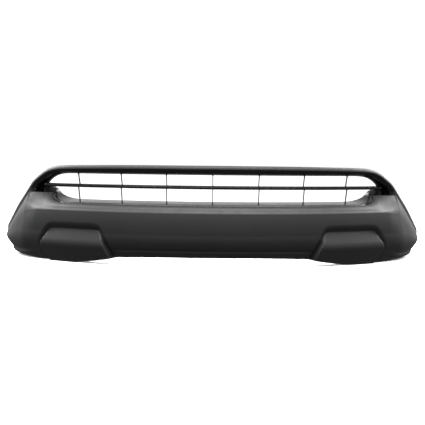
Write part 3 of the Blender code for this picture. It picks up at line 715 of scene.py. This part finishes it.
def metal(name, dark, light, rough_low, rough_high):
    n = Nodes(name)
    tone = n.colours(n.ramp(n.noise(120.0, 4.0), 0.3, 0.7, 0, 1), dark, light)
    n.link(tone, n.shader.inputs["Base Color"])
    n.shader.inputs["Metallic"].default_value = 1.0
    n.link(n.ramp(n.noise(400.0, 3.0), 0.3, 0.7, rough_low, rough_high), n.shader.inputs["Roughness"])
    n.link(n.bump(n.noise(1500.0, 2.0), 0.10, 0.00008), n.shader.inputs["Normal"])
    return n.material


def dress_node(name, material):
    """Give a carried-over CAD node its finish."""
    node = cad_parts[name]
    thing = bpy.data.objects[node] if isinstance(node, str) else node
    thing.data.materials.clear()
    thing.data.materials.append(material)


# ---- stage --------------------------------------------------------------------------------------
FLOOR_HALF = 30.0
FLOOR_GLOW = 0.30
WORLD_BELOW = 0.25
WORLD_ROUND = 1.02
WORLD_EDGE = (-0.30, -0.09)  # upward share of the direction, from dim below to bright
LENS_MM = 60.5
CAMERA_BACK = 2.43
CAMERA_Z = 0.36
CAMERA_PITCH_DEG = 3.906
CAMERA_ROLL_DEG = 0.6
# name, place, target, size, power; side lights are repeated on the left
OVERHEAD = ("overhead", (0.0, -1.0, 2.2), (0.0, -0.2, 0.2), (3.2, 1.5), 225)
SIDE_BACK = ("side_back", (2.0, 0.7, 1.4), (0.55, -0.1, 0.25), (1.5, 1.5), 120)


def floor_material():
    n = Nodes("pale_floor")
    tone = n.colours(n.noise(2.0, 2.0), (0.90, 0.90, 0.90), (0.92, 0.92, 0.92))
    n.link(tone, n.shader.inputs["Base Color"])
    n.shader.inputs["Roughness"].default_value = 0.7
    n.shader.inputs["Emission Color"].default_value = (1, 1, 1, 1)
    n.shader.inputs["Emission Strength"].default_value = FLOOR_GLOW
    return n.material


def make_stage():
    half = FLOOR_HALF
    mesh = bpy.data.meshes.new("floor")
    corners = [(-half, -half, 0), (half, -half, 0), (half, half, 0), (-half, half, 0)]
    mesh.from_pydata(corners, [], [(0, 1, 2, 3)])
    mesh.materials.append(floor_material())
    floor = bpy.data.objects.new("floor", mesh)
    floor.location.z = -0.0005
    floor.visible_diffuse = False
    floor.visible_glossy = False
    bpy.context.collection.objects.link(floor)


def make_light(name, location, target, size, power):
    data = bpy.data.lights.new(name, "AREA")
    data.shape = "RECTANGLE"
    data.size, data.size_y = size
    data.energy = power
    lamp = bpy.data.objects.new(name, data)
    bpy.context.collection.objects.link(lamp)
    lamp.location = location
    lamp.rotation_euler = (Vector(target) - Vector(location)).to_track_quat("-Z", "Y").to_euler()
    lamp.visible_camera = False


def make_world():
    """Bright studio all round, dimmer from well below, so that undersides stay dark."""
    world = bpy.data.worlds.new("studio")
    world.use_nodes = True
    tree = world.node_tree
    split = tree.nodes.new("ShaderNodeSeparateXYZ")
    tree.links.new(tree.nodes.new("ShaderNodeTexCoord").outputs["Generated"], split.inputs["Vector"])
    level = tree.nodes.new("ShaderNodeMapRange")
    for key, value in (("From Min", WORLD_EDGE[0]), ("From Max", WORLD_EDGE[1]),
                       ("To Min", WORLD_BELOW), ("To Max", WORLD_ROUND)):
        level.inputs[key].default_value = value
    tree.links.new(split.outputs["Z"], level.inputs["Value"])
    tree.links.new(level.outputs["Result"], tree.nodes["Background"].inputs["Strength"])
    tree.nodes["Background"].inputs["Color"].default_value = (1, 1, 1, 1)
    bpy.context.scene.world = world


def make_camera():
    """Straight-on view from a little above the rim, level with the cover's top edge."""
    data = bpy.data.cameras.new("camera")
    data.lens = LENS_MM
    data.sensor_width = 36.0
    camera = bpy.data.objects.new("camera", data)
    bpy.context.collection.objects.link(camera)
    camera.location = (0.0, FRONT_Y - CAMERA_BACK, CAMERA_Z)
    pitch = Matrix.Rotation(math.radians(90 - CAMERA_PITCH_DEG), 4, "X")
    roll = Matrix.Rotation(math.radians(CAMERA_ROLL_DEG), 4, "Z")
    camera.matrix_world = Matrix.Translation(camera.location) @ pitch @ roll
    bpy.context.scene.camera = camera


# ---- build --------------------------------------------------------------------------------------
FRONT_Y = front_y()
make_camera()
make_world()
make_stage()
make_light(*OVERHEAD)
for side in (-1, 1):
    light_name, (light_x, light_y, light_z), (aim_x, aim_y, aim_z), light_size, light_power = SIDE_BACK
    make_light(light_name, (side * light_x, light_y, light_z), (side * aim_x, aim_y, aim_z),
               light_size, light_power)
skin_look = textured_plastic()
black_look = black_plastic()
zinc_look = metal("zinc_look", (0.50, 0.51, 0.53), (0.62, 0.63, 0.65), 0.28, 0.42)
spring_look = metal("spring_steel_look", (0.06, 0.06, 0.065), (0.11, 0.11, 0.12), 0.38, 0.55)
skin_points, skin_quads = skin_mesh()
skin_solid = thick_sheet(skin_points, skin_quads, WALL)
make_piece("skin_fine", *skin_solid, skin_look, "cover_skin", "textured_plastic")
make_grille(black_look)
for node_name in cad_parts:
    if "screw" in node_name:
        dress_node(node_name, zinc_look)
    elif "nut" in node_name:
        dress_node(node_name, spring_look)
    elif "bracket" in node_name:
        dress_node(node_name, black_look)
bpy.context.scene.view_settings.view_transform = "Standard"
